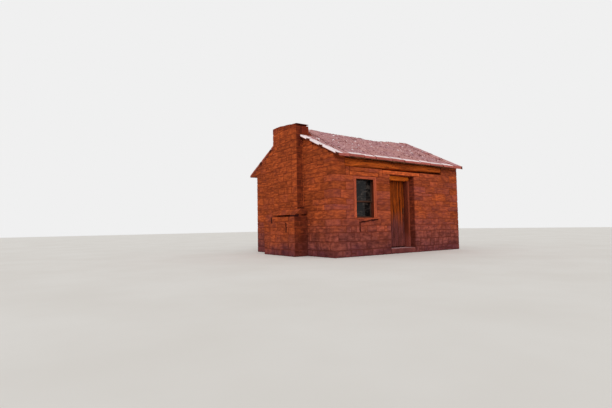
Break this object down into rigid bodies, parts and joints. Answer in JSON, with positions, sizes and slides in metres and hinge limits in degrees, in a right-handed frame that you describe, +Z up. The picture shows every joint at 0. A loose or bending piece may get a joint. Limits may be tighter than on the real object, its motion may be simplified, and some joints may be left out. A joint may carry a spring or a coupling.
{
  "type": "one-room stone house",
  "caption": "One-room house of cut red sandstone in mud, with an earth roof edged in flat stones, a gable chimney, a sash window and a boarded door.",
  "frame": {"origin": "middle of the bounding box's footprint, at the lowest ground level", "axes": "+X along the eaves away from the chimney gable, +Y from the door wall to the back wall, +Z up"},
  "size_m": [5.49, 4.62, 3.7145],
  "materials": {
    "sandstone": "matte",
    "flat_stone": "matte",
    "earth": "matte",
    "hewn_timber": "matte",
    "joinery": "matte",
    "door_boards": "matte",
    "iron": "matte",
    "window_glass": "gloss"
  },
  "bodies": {
    "house": {"front_wall_left": "sandstone", "window_wall_below": "sandstone", "front_wall_pier": "sandstone", "front_wall_right": "sandstone", "front_wall_top": "sandstone", "back_wall": "sandstone", "right_gable_wall": "sandstone", "left_gable_front": "sandstone", "left_gable_back": "sandstone", "kneeler_stones": "sandstone", "door_lintel": "sandstone", "window_lintel": "sandstone", "chimney_base": "sandstone", "chimney_shoulder": "sandstone", "chimney_stack": "sandstone", "fireplace_cheeks": "sandstone", "fireplace_lintel": "sandstone", "door_threshold": "flat_stone", "hearth_stone": "flat_stone", "front_eaves_stones": "flat_stone", "back_eaves_stones": "flat_stone", "left_coping_stones": "flat_stone", "right_coping_stones": "flat_stone", "earth_front": "earth", "earth_back": "earth", "eaves_log": "hewn_timber", "ridge_pole": "hewn_timber", "front_purlin": "hewn_timber", "back_purlin": "hewn_timber", "roof_boards_front": "hewn_timber", "roof_boards_back": "hewn_timber", "door_posts": "joinery", "door_head": "joinery", "window_jambs": "joinery", "window_head": "joinery", "window_sill": "joinery", "window_casing": "joinery", "upper_sash": "joinery", "lower_sash": "joinery", "door_pintles": "iron", "upper_pane": "window_glass", "lower_pane": "window_glass"},
    "door": {"door_leaf": "door_boards", "door_battens": "door_boards", "door_hinge_straps": "iron", "door_pull": "iron"}
  },
  "joints": [
    {"name": "door_hinge", "type": "hinge", "parent": "house", "child": "door", "pos_m": [-0.265, -1.6877, 0.165], "axis": [0, 0, 1], "range_deg": [0, 165]}
  ]
}
